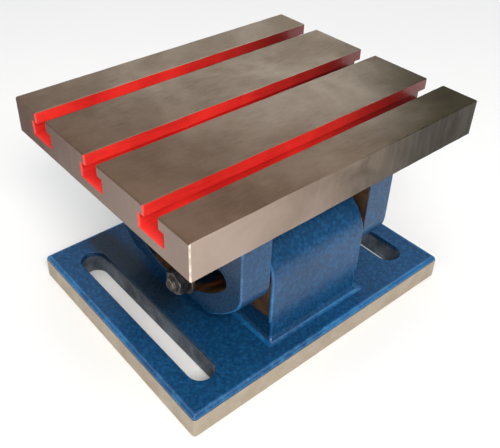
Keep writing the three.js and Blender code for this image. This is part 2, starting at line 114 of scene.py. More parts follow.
class Shader:
    """A Principled material and short ways to add procedural nodes to it."""

    def __init__(self, name, **settings):
        self.material = bpy.data.materials.new(name)
        self.material.use_nodes = True
        self.tree = self.material.node_tree
        self.tree.nodes.clear()
        self.output = self.tree.nodes.new("ShaderNodeOutputMaterial")
        self.surface = self.tree.nodes.new("ShaderNodeBsdfPrincipled")
        self.link(self.surface.outputs[0], self.output.inputs["Surface"])
        for socket, value in settings.items():
            self.surface.inputs[socket.replace("_", " ")].default_value = value
        self.place = self.tree.nodes.new("ShaderNodeTexCoord").outputs["Object"]

    def link(self, source, target):
        self.tree.links.new(source, target)

    def feed(self, socket, source):
        """source is a node's output or a plain value."""
        if isinstance(source, bpy.types.NodeSocket):
            self.link(source, socket)
        else:
            socket.default_value = source

    def stretched(self, stretch, turn=(0, 0, 0)):
        mapping = self.tree.nodes.new("ShaderNodeMapping")
        mapping.inputs["Scale"].default_value = stretch
        mapping.inputs["Rotation"].default_value = turn
        self.link(self.place, mapping.inputs["Vector"])
        return mapping.outputs[0]

    def noise(self, scale, detail=4.0, roughness=0.5, stretch=None, turn=(0, 0, 0), warp=0.0):
        node = self.tree.nodes.new("ShaderNodeTexNoise")
        node.inputs["Scale"].default_value = scale
        node.inputs["Detail"].default_value = detail
        node.inputs["Roughness"].default_value = roughness
        node.inputs["Distortion"].default_value = warp
        where = self.place if stretch is None else self.stretched(stretch, turn)
        self.link(where, node.inputs["Vector"])
        return node.outputs[0]

    def cells(self, scale, feature="F1", smooth=0.5):
        node = self.tree.nodes.new("ShaderNodeTexVoronoi")
        node.feature = feature
        node.inputs["Scale"].default_value = scale
        if feature == "SMOOTH_F1":
            node.inputs["Smoothness"].default_value = smooth
        self.link(self.place, node.inputs["Vector"])
        return node.outputs["Distance"]

    def span(self, value, low, high, to_low=0.0, to_high=1.0):
        """value carried from low..high to to_low..to_high, held at both ends."""
        node = self.tree.nodes.new("ShaderNodeMapRange")
        node.interpolation_type = "SMOOTHSTEP"
        for socket, number in zip(("From Min", "From Max", "To Min", "To Max"),
                                  (low, high, to_low, to_high)):
            node.inputs[socket].default_value = number
        self.link(value, node.inputs["Value"])
        return node.outputs[0]

    def maths(self, operation, first, second=0.0):
        node = self.tree.nodes.new("ShaderNodeMath")
        node.operation = operation
        self.feed(node.inputs[0], first)
        self.feed(node.inputs[1], second)
        return node.outputs[0]

    def blend(self, share, first, second, how="MIX"):
        node = self.tree.nodes.new("ShaderNodeMix")
        node.data_type = "RGBA"
        node.blend_type = how
        self.feed(node.inputs["Factor"], share)
        self.feed(node.inputs[6], first)
        self.feed(node.inputs[7], second)
        return node.outputs[2]

    def axis(self, letter):
        node = self.tree.nodes.new("ShaderNodeSeparateXYZ")
        self.link(self.place, node.inputs[0])
        return node.outputs[letter]

    def facing(self, letter):
        node = self.tree.nodes.new("ShaderNodeSeparateXYZ")
        geometry = self.tree.nodes.new("ShaderNodeNewGeometry")
        self.link(geometry.outputs["Normal"], node.inputs[0])
        return node.outputs[letter]

    def bump(self, height, distance, strength=1.0, under=None):
        node = self.tree.nodes.new("ShaderNodeBump")
        node.inputs["Strength"].default_value = strength
        node.inputs["Distance"].default_value = distance
        self.link(height, node.inputs["Height"])
        if under is not None:
            self.link(under, node.inputs["Normal"])
        return node.outputs[0]

    def colour(self, source):
        self.feed(self.surface.inputs["Base Color"], source)

    def roughness(self, source):
        self.feed(self.surface.inputs["Roughness"], source)

    def metal(self, source):
        self.feed(self.surface.inputs["Metallic"], source)

    def normal(self, source):
        self.feed(self.surface.inputs["Normal"], source)


def rgb(red, green, blue):
    return (red, green, blue, 1.0)


# ---- Materials ----------------------------------------------------------------

def ground_iron(name, grain):
    """Bare cast iron off the grinder: fine parallel scratches, oil stain and pores.

    wear holds their share of the colour, for a tint to be multiplied by."""
    s = Shader(name, Metallic=0.55)
    stain = s.noise(14, 5, 0.6, warp=0.4)
    cloud = s.noise(55, 4, 0.6)
    scratch = s.noise(1, 3, 0.65, stretch=grain)
    long_scratch = s.noise(0.35, 2, 0.5, stretch=grain)
    pores = s.span(s.noise(1400, 2, 0.7), 0.64, 0.72)
    body = s.blend(s.span(stain, 0.35, 0.68), rgb(0.72, 0.66, 0.60), rgb(1.05, 1.05, 1.05))
    body = s.blend(s.span(cloud, 0.4, 0.75, 0.0, 0.35), body, rgb(0.62, 0.55, 0.45))
    body = s.blend(s.span(scratch, 0.35, 0.7, 0.0, 0.3), body, rgb(1.5, 1.45, 1.4))
    s.wear = s.blend(s.maths("MULTIPLY", pores, 0.5), body, rgb(0.2, 0.15, 0.12))
    rough = s.maths("ADD", s.span(stain, 0.3, 0.7, 0.34, 0.48), s.span(scratch, 0.3, 0.7, 0.0, 0.12))
    s.roughness(rough)
    fine = s.bump(scratch, mm(0.02), 0.55)
    s.normal(s.bump(long_scratch, mm(0.03), 0.35, fine))
    return s


def table_top_finish():
    """Greyest at the back, browner along the left end, darkest at the right front corner: partly oil
    staining and tarnishing, partly painted reflection and painted shade.
    """
    brown, grey, tarnish_and_shade = rgb(0.165, 0.105, 0.070), rgb(0.38, 0.325, 0.26), rgb(0.050, 0.040, 0.018)
    brown_until, grey_from = mm(-110), mm(90)
    undarkened_until, tarnish_and_shade_from = mm(100), mm(225)
    s = ground_iron("ground_table_top", (60, 1500, 1500))
    along, across = s.axis("X"), s.axis("Y")
    ragged = s.maths("MULTIPLY", s.noise(16, 4, 0.6, warp=0.5), mm(60))
    to_back = s.maths("ADD", s.maths("ADD", along, s.maths("MULTIPLY", across, 0.5)), ragged)
    to_corner = s.maths("ADD", s.maths("SUBTRACT", along, across), ragged)
    # The shift to grey towards the back is partly painted reflection, and the darkening towards the right
    # front corner is partly painted shade.
    tint = s.blend(s.span(to_back, brown_until, grey_from), brown, grey)
    tint = s.blend(s.span(to_corner, undarkened_until, tarnish_and_shade_from), tint, tarnish_and_shade)
    s.colour(s.blend(1.0, tint, s.wear, "MULTIPLY"))
    return s.material


def table_side_finish():
    """Milled edge, lightest by the left front corner and darker towards the far ends, with the end faces
    darker than the front: partly tarnishing, partly painted shade.
    """
    lit_clean, dull_and_shaded, tarnished_and_shaded = rgb(0.39, 0.30, 0.25), rgb(0.19, 0.14, 0.105), rgb(0.020, 0.016, 0.006)
    end_in_shade, end_rust_and_shade = rgb(0.26, 0.19, 0.155), rgb(0.085, 0.034, 0.018)
    cut, pit = rgb(0.30, 0.24, 0.19), rgb(0.06, 0.045, 0.03)
    s = Shader("milled_table_side", Metallic=0.25, Specular_IOR_Level=0.3)
    mottle = s.noise(22, 5, 0.6, warp=0.5)
    cutter = s.noise(1, 3, 0.6, stretch=(260, 260, 30))
    speck = s.span(s.noise(900, 3, 0.7), 0.6, 0.72)
    wander = s.maths("MULTIPLY", s.span(mottle, 0.3, 0.7), mm(30))
    # The front falls from light to very dark along X, and the ends darken along Y: partly tarnishing,
    # partly painted shade.
    along_front = s.maths("ADD", s.axis("X"), wander)
    front = s.blend(s.span(along_front, mm(-110), mm(20)), lit_clean, dull_and_shaded)
    front = s.blend(s.span(along_front, mm(-20), mm(75)), front, tarnished_and_shaded)
    along_end = s.maths("SUBTRACT", s.axis("Y"), wander)
    end = s.blend(s.span(along_end, mm(-110), mm(90)), end_in_shade, end_rust_and_shade)
    on_end = s.span(s.maths("ABSOLUTE", s.facing("X")), 0.6, 0.8)
    body = s.blend(on_end, front, end)
    body = s.blend(s.span(cutter, 0.35, 0.7, 0.0, 0.10), body, cut)
    body = s.blend(s.maths("MULTIPLY", speck, 0.3), body, pit)
    s.colour(body)
    s.roughness(s.span(mottle, 0.3, 0.7, 0.42, 0.6))
    s.normal(s.bump(cutter, mm(0.03), 0.4))
    return s.material


def worn_edge():
    """Handled edges, rubbed bright; their light cream colour is partly a painted highlight."""
    s = Shader("rubbed_edge_highlight", Metallic=0.5)
    rub = s.noise(120, 4, 0.6)
    s.colour(s.blend(s.span(rub, 0.35, 0.7), rgb(0.50, 0.42, 0.35), rgb(0.92, 0.80, 0.70)))
    s.roughness(s.span(rub, 0.3, 0.7, 0.28, 0.45))
    s.normal(s.bump(rub, mm(0.02), 0.4))
    return s.material


def oil_film(s):
    """The share of painted shadow on the base's top, under the table's left end, along the inner side of
    the left slot's back half.
    """
    level = s.span(s.axis("Z"), mm(21), mm(23), 0.8, 0.0)
    from_slot = s.span(s.axis("X"), mm(-96), mm(-84))
    to_pedestal = s.span(s.axis("X"), mm(-74), mm(-60), 1.0, 0.0)
    back_half = s.span(s.axis("Y"), mm(-45), mm(5))
    share = s.maths("MULTIPLY", level, from_slot)
    share = s.maths("MULTIPLY", share, to_pedestal)
    return s.maths("MULTIPLY", share, back_half)


def hammered_blue():
    """Blue enamel flooded over rough castings: dimpled skin, thin on the high spots. Faces turned to ±X
    are darkened with painted shade, and the base's top under the table's left end with a painted shadow.
    """
    deep, full, thin = rgb(0.006, 0.050, 0.145), rgb(0.010, 0.082, 0.225), rgb(0.010, 0.115, 0.230)
    # oil is the near-black of a painted shadow on the base's top under the table's left end.
    pooled, oil, side_shade = rgb(0.002, 0.026, 0.072), rgb(0.010, 0.013, 0.012), rgb(0.001, 0.014, 0.034)
    s = Shader("hammered_blue", IOR=1.45, Specular_IOR_Level=0.36,
               Coat_Weight=0.06, Coat_Roughness=0.12, Coat_IOR=1.5)
    dimples = s.cells(330, "SMOOTH_F1", 0.9)
    peel = s.noise(520, 3, 0.6)
    swell = s.noise(60, 3, 0.5)
    drift = s.noise(16, 3, 0.5)
    body = s.blend(s.span(drift, 0.3, 0.7), deep, full)
    body = s.blend(s.span(peel, 0.4, 0.72, 0.0, 0.6), body, thin)
    body = s.blend(s.span(dimples, 0.25, 0.55, 0.0, 0.5), body, pooled)
    # Painted shadow on the base's top under the table's left end.
    body = s.blend(oil_film(s), body, oil)
    # Painted shade on faces turned to ±X, such as the ears' outer faces.
    sideways = s.span(s.maths("ABSOLUTE", s.facing("X")), 0.5, 0.9, 0.0, 0.55)
    s.colour(s.blend(sideways, body, side_shade))
    s.roughness(s.span(peel, 0.3, 0.7, 0.24, 0.42))
    skin = s.bump(dimples, mm(0.30), 0.32)
    skin = s.bump(peel, mm(0.12), 0.5, skin)
    s.normal(s.bump(swell, mm(0.6), 0.4, skin))
    return s.material


def thin_blue():
    """The same enamel drawn thin over an edge, where the lighter coat under it shows; its light cyan is
    partly a painted highlight.
    """
    s = Shader("blue_over_edge_highlight", IOR=1.45, Coat_Weight=0.3, Coat_Roughness=0.1, Coat_IOR=1.5)
    rub = s.noise(140, 4, 0.6)
    wander = s.noise(24, 3, 0.5)
    body = s.blend(s.span(wander, 0.35, 0.65), rgb(0.006, 0.065, 0.185), rgb(0.010, 0.125, 0.32))
    s.colour(s.blend(s.span(rub, 0.45, 0.7, 0.0, 0.6), body, rgb(0.030, 0.21, 0.42)))
    s.roughness(s.span(rub, 0.3, 0.7, 0.2, 0.36))
    s.normal(s.bump(rub, mm(0.15), 0.4))
    return s.material


def red_enamel():
    """Brushed-on red paint in the T-slots, scuffed at the lips, darker towards the right end: partly
    grime, partly painted shade.
    """
    deep, full, brushed = rgb(0.64, 0.022, 0.020), rgb(0.88, 0.040, 0.030), rgb(0.95, 0.06, 0.03)
    grimy_and_shaded, bare = rgb(0.17, 0.010, 0.008), rgb(0.35, 0.29, 0.23)
    s = Shader("red_slot_paint", IOR=1.5, Coat_Weight=0.3, Coat_Roughness=0.15)
    brush = s.noise(1, 3, 0.6, stretch=(60, 900, 900))
    drift = s.noise(30, 3, 0.5)
    chips = s.span(s.noise(420, 4, 0.7), 0.68, 0.73)
    lip = s.span(s.axis("Z"), table_high.z - mm(1.4), table_high.z - mm(0.2))
    worn = s.maths("MULTIPLY", chips, s.maths("ADD", s.maths("MULTIPLY", lip, 0.8), 0.12))
    body = s.blend(s.span(drift, 0.3, 0.7), deep, full)
    body = s.blend(s.span(brush, 0.4, 0.7, 0.0, 0.3), body, brushed)
    # Darkening towards the right end: partly grime, partly painted shade.
    body = s.blend(s.span(s.axis("X"), mm(-20), mm(120)), body, grimy_and_shaded)
    s.colour(s.blend(worn, body, bare))
    s.metal(s.maths("MULTIPLY", worn, 0.9))
    s.roughness(s.span(brush, 0.3, 0.7, 0.28, 0.46))
    s.normal(s.bump(brush, mm(0.06), 0.5))
    return s.material


def bare_casting(name, light, dark, bloom_tint, bloom_share, splash_z=0.0):
    """Milled face of a casting, left bare: faint cutter marks and blotches of bloom_tint.
    Where splash_z is given, paint covers it up to about that height, in a dark navy that is partly
    painted shade."""
    pit, splashed_and_shaded = rgb(0.05, 0.035, 0.025), rgb(0.004, 0.026, 0.060)
    ragged = mm(5)
    s = Shader(name, Metallic=0.3, Specular_IOR_Level=0.3)
    cutter = s.noise(1, 3, 0.6, stretch=(260, 260, 500))
    mottle = s.noise(60, 5, 0.6, warp=0.5)
    bloom = s.noise(38, 5, 0.65, warp=0.8)
    speck = s.span(s.noise(900, 3, 0.7), 0.6, 0.72)
    body = s.blend(s.span(mottle, 0.32, 0.68), dark, light)
    body = s.blend(s.span(bloom, 0.48, 0.72, 0.0, bloom_share), body, bloom_tint)
    body = s.blend(s.maths("MULTIPLY", speck, 0.4), body, pit)
    if splash_z:
        run = s.maths("ADD", s.axis("Z"), s.span(mottle, 0.3, 0.7, -ragged, ragged))
        # Below splash_z the face turns dark navy: paint, darkened as painted shade.
        body = s.blend(s.span(run, splash_z - mm(2), splash_z + mm(2)), splashed_and_shaded, body)
    s.colour(body)
    s.roughness(s.span(bloom, 0.3, 0.7, 0.42, 0.65))
    s.normal(s.bump(cutter, mm(0.05), 0.5))
    return s.material


def turned_steel(name, tint, roughness=0.3, rust=0.25):
    """Metal off the lathe with fine rings; rust is the most that the brown blooms cover."""
    s = Shader(name, Metallic=1.0)
    lathe = s.noise(1, 3, 0.6, stretch=(2200, 40, 40))
    bloom = s.noise(220, 4, 0.6)
    edge = s.blend(s.span(lathe, 0.35, 0.7, 0.0, 0.35), tint, rgb(0.62, 0.60, 0.57))
    s.colour(s.blend(s.span(bloom, 0.6, 0.8, 0.0, rust), edge, rgb(0.16, 0.08, 0.04)))
    s.roughness(s.span(bloom, 0.3, 0.75, roughness, roughness + 0.22))
    s.normal(s.bump(lathe, mm(0.012), 0.5))
    return s.material


def scale_metal():
    s = Shader("satin_scale", Metallic=0.95)
    brushed = s.noise(1, 3, 0.6, stretch=(200, 60, 2600))
    body = s.blend(s.span(brushed, 0.35, 0.7), rgb(0.58, 0.58, 0.56), rgb(0.74, 0.74, 0.72))
    s.colour(s.blend(s.span(s.noise(160, 4), 0.6, 0.8, 0.0, 0.4), body, rgb(0.35, 0.32, 0.28)))
    s.roughness(s.span(brushed, 0.3, 0.7, 0.30, 0.42))
    s.normal(s.bump(brushed, mm(0.01), 0.5))
    return s.material


def black_fill():
    s = Shader("black_fill", Roughness=0.55)
    s.colour(s.blend(s.noise(900, 3), rgb(0.010, 0.010, 0.011), rgb(0.035, 0.033, 0.032)))
    s.normal(s.bump(s.noise(1500, 2), mm(0.01), 0.4))
    return s.material


def pale_floor():
    s = Shader("pale_floor", Roughness=0.85)
    s.colour(s.blend(s.noise(3, 3), rgb(0.90, 0.90, 0.89), rgb(0.94, 0.94, 0.93)))
    return s.material


table_top_iron = table_top_finish()
table_side_iron = table_side_finish()
bright_edge = worn_edge()
blue = hammered_blue()
edge_blue = thin_blue()
pad_iron = bare_casting(
    "milled_pad", light=rgb(0.15, 0.075, 0.025), dark=rgb(0.035, 0.022, 0.014),
    bloom_tint=rgb(0.36, 0.085, 0.010), bloom_share=0.9, splash_z=mm(44))
base_side_iron = bare_casting(
    "bare_base_side", light=rgb(0.46, 0.39, 0.30), dark=rgb(0.40, 0.335, 0.255),
    bloom_tint=rgb(0.36, 0.27, 0.185), bloom_share=0.3)
# The slot walls' dark blue-grey, darker and bluer than the base's bare sides, is partly painted shade.
slot_wall_iron_shaded = bare_casting(
    "bare_slot_wall_shaded", light=rgb(0.15, 0.185, 0.22), dark=rgb(0.035, 0.05, 0.07),
    bloom_tint=rgb(0.07, 0.06, 0.04), bloom_share=0.4)
red = red_enamel()
steel = turned_steel("turned_steel", rgb(0.36, 0.34, 0.32))
oily_steel = turned_steel("oily_steel", rgb(0.13, 0.11, 0.09), 0.34, 0.6)
black_steel = turned_steel("blackened_steel", rgb(0.075, 0.068, 0.062), 0.34, 0.5)
bronze = turned_steel("turned_bronze", rgb(0.50, 0.30, 0.11), 0.28, 0.2)
scale_finish = scale_metal()
engraving = black_fill()


# ---- Mesh building ------------------------------------------------------------

def arc(centre, radius, start, end, steps):
    """Points from angle start to end, both included."""
    return [
        (centre[0] + radius * math.cos(start + (end - start) * k / steps),
         centre[1] + radius * math.sin(start + (end - start) * k / steps))
        for k in range(steps + 1)
    ]


def rounded_box(half_u, half_v, radius, steps=5):
    """Counter-clockwise loop that starts on the right-hand side's lower end."""
    loop = []
    for k, (sign_u, sign_v) in enumerate(((1, -1), (1, 1), (-1, 1), (-1, -1))):
        centre = (sign_u * (half_u - radius), sign_v * (half_v - radius))
        start = math.pi / 2 * (k - 1)
        loop += arc(centre, radius, start, start + math.pi / 2, steps)
    return loop


def stadium(centre_u, half_v, radius, steps=14):
    straight = half_v - radius
    upper = arc((centre_u, straight), radius, 0, math.pi, steps)
    lower = arc((centre_u, -straight), radius, math.pi, 2 * math.pi, steps)
    return upper + lower


def inset(loop, depth):
    """A counter-clockwise loop moved inwards by depth, with mitred corners."""
    moved = []
    count = len(loop)
    for k in range(count):
        before, here, after = Vector(loop[k - 1]), Vector(loop[k]), Vector(loop[(k + 1) % count])
        first, second = (here - before).normalized(), (after - here).normalized()
        first_in, second_in = Vector((-first.y, first.x)), Vector((-second.y, second.x))
        middle = (first_in + second_in).normalized()
        reach = depth / max(middle.dot(first_in), 0.35)
        moved.append(tuple(here + middle * reach))
    return moved


def curve(start, bend, end, t):
    """The point at t, from 0 to 1, of a curve from start to end that is pulled towards bend."""
    return tuple(start * (1 - t) ** 2 + bend * 2 * t * (1 - t) + end * t * t)


def rounding(radius, steps=4):
    """(inset, distance below the face) pairs from the wall round to the face."""
    return [
        (radius * (1 - math.cos(math.pi / 2 * k / steps)),
         radius * (1 - math.sin(math.pi / 2 * k / steps)))
        for k in range(steps + 1)
    ]


class Skin:
    """A closed mesh made from loops of points joined into walls, with filled ends."""

    PLACE = {
        "x": lambda u, v, w: (w, u, v),
        "z": lambda u, v, w: (u, v, w),
    }

    def __init__(self, axis="z"):
        self.mesh = bmesh.new()
        self.put = self.PLACE[axis]
        self.flat = {}

    def ring(self, loop, w):
        made = [self.mesh.verts.new(self.put(u, v, w)) for u, v in loop]
        for vertex, (u, v) in zip(made, loop):
            self.flat[vertex] = Vector((u, v, 0))
        return made

    def wall(self, lower, upper, material=0):
        """material is one index, or one for each stretch of the loop."""
        count = len(lower)
        for k in range(count):
            after = (k + 1) % count
            face = self.mesh.faces.new((lower[k], lower[after], upper[after], upper[k]))
            face.material_index = material if isinstance(material, int) else material[k]

    def fill(self, rings, material=0):
        """Fills the first ring, leaving the others as holes."""
        loops = [[self.flat[vertex] for vertex in ring] for ring in rings]
        corners = [vertex for ring in rings for vertex in ring]
        for triangle in tessellate_polygon(loops):
            face = self.mesh.faces.new([corners[k] for k in triangle])
            face.material_index = material

    def stack(self, levels, material=0):
        """Rings at several heights, joined one above another: levels holds (loop, height)."""
        rings = [self.ring(loop, w) for loop, w in levels]
        for k in range(len(rings) - 1):
            chosen = material[k] if isinstance(material, list) else material
            self.wall(rings[k], rings[k + 1], chosen)
        return rings

    def done(self, name, materials, crease=32):
        return make_object(name, self.mesh, materials, crease)


def make_object(name, mesh, materials, crease=32):
    """Welds a mesh, smooths it and makes it an object. Edges over crease degrees stay sharp."""
    same_place = 1e-7
    bmesh.ops.remove_doubles(mesh, verts=mesh.verts, dist=same_place)
    bmesh.ops.dissolve_degenerate(mesh, edges=mesh.edges, dist=same_place)
    bmesh.ops.recalc_face_normals(mesh, faces=mesh.faces)
    data = bpy.data.meshes.new(name)
    mesh.to_mesh(data)
    mesh.free()
    for material in materials:
        data.materials.append(material)
    data.shade_smooth()
    data.set_sharp_from_angle(angle=math.radians(crease))
    piece = bpy.data.objects.new(name, data)
    bpy.context.scene.collection.objects.link(piece)
    shading = piece.modifiers.new("weighted_normals", "WEIGHTED_NORMAL")
    shading.keep_sharp = True
    return piece


def spun(name, axis, at, profile, sides, material, closed=False, crease=32):
    """A turned piece. profile holds (radius, distance along the axis); a radius may be
    a function of the angle. A closed profile is a ring's section."""
    mesh = bmesh.new()
    rings = []
    for radius, along in profile:
        ring = []
        for k in range(sides):
            angle = 2 * math.pi * k / sides
            r = radius(angle) if callable(radius) else radius
            u, v = r * math.cos(angle), r * math.sin(angle)
            point = (along, u, v) if axis == "x" else (u, v, along)
            ring.append(mesh.verts.new(Vector(point) + Vector(at)))
        rings.append(ring)
    last = len(rings) if closed else len(rings) - 1
    for k in range(last):
        lower, upper = rings[k], rings[(k + 1) % len(rings)]
        for j in range(sides):
            after = (j + 1) % sides
            mesh.faces.new((lower[j], lower[after], upper[after], upper[j]))
    return make_object(name, mesh, [material], crease)


def stands_for(piece, body, slot, *replaced):
    """Puts a piece on its body and in place of the CAD nodes named. The slot argument is not used."""
    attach(piece, body)
    if replaced:
        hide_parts(*replaced)
    return piece


# ---- Table plate --------------------------------------------------------------

TOP, SIDE, RED, EDGE = range(4)


def table_section(chamfer):
    """The end view of the table, counter-clockwise from its lower front edge, and the
    material of the stretch that follows each point."""
    half, low, high = table_high.y, table_low.z, table_high.z
    neck_z, floor_z = high - TEE_NECK_DEPTH, high - TEE_DEPTH
    # EDGE marks the lower long edges, which take the bright edge colour, partly a painted highlight.
    points = [
        ((-half + chamfer, low), SIDE),
        ((half - chamfer, low), EDGE),
        ((half, low + chamfer), SIDE),
        ((half, high - chamfer), SIDE),
        ((half - chamfer, high), TOP),
    ]
    for y in (TEE_PITCH, 0, -TEE_PITCH):
        neck, tee = TEE_NECK_W / 2, TEE_W / 2
        points += [
            ((y + neck + chamfer, high), TOP),
            ((y + neck, high - chamfer), RED),
            ((y + neck, neck_z), RED),
            ((y + tee, neck_z), RED),
            ((y + tee, floor_z), RED),
            ((y - tee, floor_z), RED),
            ((y - tee, neck_z), RED),
            ((y - neck, neck_z), RED),
            ((y - neck, high - chamfer), TOP),
            ((y - neck - chamfer, high), TOP),
        ]
    points += [
        ((-half + chamfer, high), SIDE),
        ((-half, high - chamfer), SIDE),
        ((-half, low + chamfer), EDGE),
    ]
    return [p for p, _ in points], [m for _, m in points]


def table_plate():
    """The edges are broken with a file, so the chamfer's width wanders along X."""
    skin = Skin("x")
    end_chamfer = mm(0.9)
    usual, narrowest, widest = mm(0.5), mm(0.3), mm(0.75)
    wander, pull_back = 0.09, 0.3
    stations = 70
    start, end = table_low.x + end_chamfer, table_high.x - end_chamfer
    levels = []
    width = usual
    for k in range(stations + 1):
        width += (usual - width) * pull_back + mm(dice.uniform(-wander, wander))
        loop, kinds = table_section(min(max(width, narrowest), widest))
        levels.append((loop, start + (end - start) * k / stations))
    first, last = levels[0][0], levels[-1][0]
    levels.insert(0, (inset(first, end_chamfer), table_low.x))
    levels.append((inset(last, end_chamfer), table_high.x))
    # The end chamfers take the bright edge colour too, partly a painted highlight.
    ends = [EDGE if kind == SIDE else kind for kind in kinds]
    rings = skin.stack(levels, [ends] + [kinds] * (len(levels) - 3) + [ends])
    skin.fill([rings[0]], SIDE)
    skin.fill([rings[-1]], SIDE)
    finishes = [table_top_iron, table_side_iron, red, bright_edge]
    return skin.done("table_plate_ground", finishes)


stands_for(table_plate(), "table", "ground_iron", "table_plate")


# ---- Base plate and pedestal --------------------------------------------------

def base_plate():
    """Bare milled sides and underside; the enamel starts where the top edge rolls over."""
    paint, side, slot_wall, edge_paint_highlight = range(4)
    half_x, half_y = base_high.x, base_high.y
    roll, foot, corner, step = mm(3.4), mm(0.8), mm(2.5), mm(0.35)

    def outer(depth):
        return rounded_box(half_x - depth, half_y - depth, max(corner - depth, mm(0.2)))

    skin = Skin("z")
    levels = [(outer(foot), 0.0), (outer(0), foot), (outer(0), BASE_T - roll - step)]
    levels.append((outer(step), BASE_T - roll))
    levels += [(outer(step + i), BASE_T - d) for i, d in rounding(roll, 6)[1:]]
    # The rolled top edge takes the lighter edge blue, partly a painted highlight.
    kinds = [side, side, side, paint] + [edge_paint_highlight] * (len(levels) - 5)
    walls = [skin.stack(levels, kinds)]
    lip, burr, paint_runs_in = mm(1.2), mm(0.4), mm(3)
    for sign in (-1, 1):
        hole = stadium(sign * BASE_SLOT_X, BASE_SLOT_L / 2, BASE_SLOT_W / 2)
        levels = [(inset(hole, -burr), 0.0), (hole, burr), (hole, BASE_T - lip - paint_runs_in)]
        levels.append((hole, BASE_T - lip))
        levels += [(inset(hole, -i), BASE_T - d) for i, d in rounding(lip)[1:]]
        walls.append(skin.stack(levels, [slot_wall] * 2 + [paint] * (len(levels) - 3)))
    mouth = rounded_box(CORE_HALF_X, CORE_HALF_Y, CORE_CORNER_R)
    walls.append(skin.stack([(mouth, 0.0), (mouth, BASE_T)], slot_wall))
    skin.fill([rings[0] for rings in walls], side)
    skin.fill([rings[-1] for rings in walls], paint)
    return skin.done("base_plate_cast", [blue, base_side_iron, slot_wall_iron_shaded, edge_blue])


def pedestal_side():
    """(half depth, height) up the pedestal: foot curve, upright, shoulder, roof, crown."""
    crown_r = base_high.z - PIVOT_Z
    crown_y = crown_r * math.sin(ROOF_SLOPE)
    crown_z = PIVOT_Z + crown_r * math.cos(ROOF_SLOPE)

    def roof_z(y):
        return crown_z - (y - crown_y) * math.tan(ROOF_SLOPE)

    foot_centre = (PEDESTAL_HALF_Y + FOOT_R, BASE_T + FOOT_R)
    points = [(foot_centre[0] + mm(1), BASE_T - mm(0.1))]
    points += arc(foot_centre, FOOT_R, 1.5 * math.pi, math.pi, 8)
    points += [(PEDESTAL_HALF_Y, BASE_T + FOOT_R + (SHOULDER_Z - BASE_T - FOOT_R) * k / 6)
               for k in range(1, 6)]
    start = Vector((PEDESTAL_HALF_Y, SHOULDER_Z))
    bend = Vector((PEDESTAL_HALF_Y, roof_z(PEDESTAL_HALF_Y)))
    end = Vector((ROOF_START_Y, roof_z(ROOF_START_Y)))
    points += [curve(start, bend, end, k / 12) for k in range(13)]
    points += [(y, roof_z(y)) for y in (mm(50), mm(38), mm(26), mm(16))]
    points += [(crown_r * math.sin(a), PIVOT_Z + crown_r * math.cos(a))
               for a in (ROOF_SLOPE * (1 - k / 6) for k in range(6))]
    return points


def pedestal_half_width(z):
    """Flank distance from the middle: foot curve, painted flank, milled pad."""
    if z < BASE_T:
        return PEDESTAL_HALF_X + FOOT_R + mm(1)
    if z < BASE_T + FOOT_R:
        drop = BASE_T + FOOT_R - z
        return PEDESTAL_HALF_X + FOOT_R - math.sqrt(max(FOOT_R ** 2 - drop ** 2, 0))
    return PEDESTAL_HALF_X if z < PAD_FOOT_Z - mm(1.5) else PAD_HALF_X


def pedestal():
    paint, pad, core, edge_paint_highlight = range(4)
    skin = Skin("z")
    corner = mm(1.6)
    steps = 5
    heights = pedestal_side()
    for z in (PAD_FOOT_Z - mm(1.6), PAD_FOOT_Z - mm(0.1)):
        place = next(k for k, (_, height) in enumerate(heights) if height > z)
        heights.insert(place, (PEDESTAL_HALF_Y, z))
    levels = []
    for half_y, z in heights:
        radius = min(corner, half_y * 0.6)
        levels.append((rounded_box(pedestal_half_width(z), half_y, radius, steps), z))
    # A loop has steps + 1 points a corner, and the last of each starts a straight stretch.
    # The flanks are the straight stretches after the first and third corners.
    corner_points = steps + 1
    flanks = {steps, 2 * corner_points + steps}

    def kind(k, z):
        if k in flanks and z > PAD_FOOT_Z - mm(0.5):
            return pad
        rounded = k % corner_points != steps
        # Rounded corners and a thin line along the foot take the lighter edge blue, partly a painted
        # highlight.
        return edge_paint_highlight if rounded or z < BASE_T + mm(0.8) else paint

    kinds = [[kind(k, z) for k in range(4 * corner_points)] for _, z in levels[:-1]]
    outer = skin.stack(levels, kinds)
    hollow = [
        (rounded_box(CORE_HALF_X, CORE_HALF_Y, CORE_CORNER_R, steps), BASE_T - mm(0.1)),
        (rounded_box(CORE_HALF_X, CORE_HALF_Y, CORE_CORNER_R, steps), CORE_WALL_Z),
        (rounded_box(CORE_HALF_X, CORE_TOP_HALF_Y, CORE_CORNER_R, steps), CORE_TOP_Z),
    ]
    inner = skin.stack(hollow, core)
    skin.fill([outer[0], inner[0]], core)
    skin.fill([outer[-1]], paint)
    skin.fill([inner[-1]], core)
    return skin.done("pedestal_cast", [blue, pad_iron, slot_wall_iron_shaded, edge_blue])


stands_for(base_plate(), "base", "blue_paint", "base_casting")
stands_for(pedestal(), "base", "blue_paint", "base_casting")


# ---- Ears ---------------------------------------------------------------------

def ear_outline():
    """Counter-clockwise in Y, Z: flat underside, swept lower edges, upright ends, top."""
    down = 1.5 * math.pi
    centre = (0, PIVOT_Z)
    flat_angle = math.acos((PIVOT_Z - ear_low.z) / EAR_R)
    side_angle = math.asin(ear_high.y / EAR_R)
    turn_angle = side_angle - EAR_CORNER_DROP / EAR_R
    swept = arc(centre, EAR_R, down + flat_angle, down + turn_angle, 14)
    corner_z = PIVOT_Z - EAR_R * math.cos(side_angle)
    arc_end, bend = Vector(swept[-1]), Vector((ear_high.y, corner_z))
    upright = Vector((ear_high.y, corner_z + EAR_CORNER_DROP))
    eased = [curve(arc_end, bend, upright, k / 6) for k in range(1, 7)]
    right = swept + eased + [(ear_high.y, ear_high.z)]
    return right + [(-y, z) for y, z in reversed(right)]


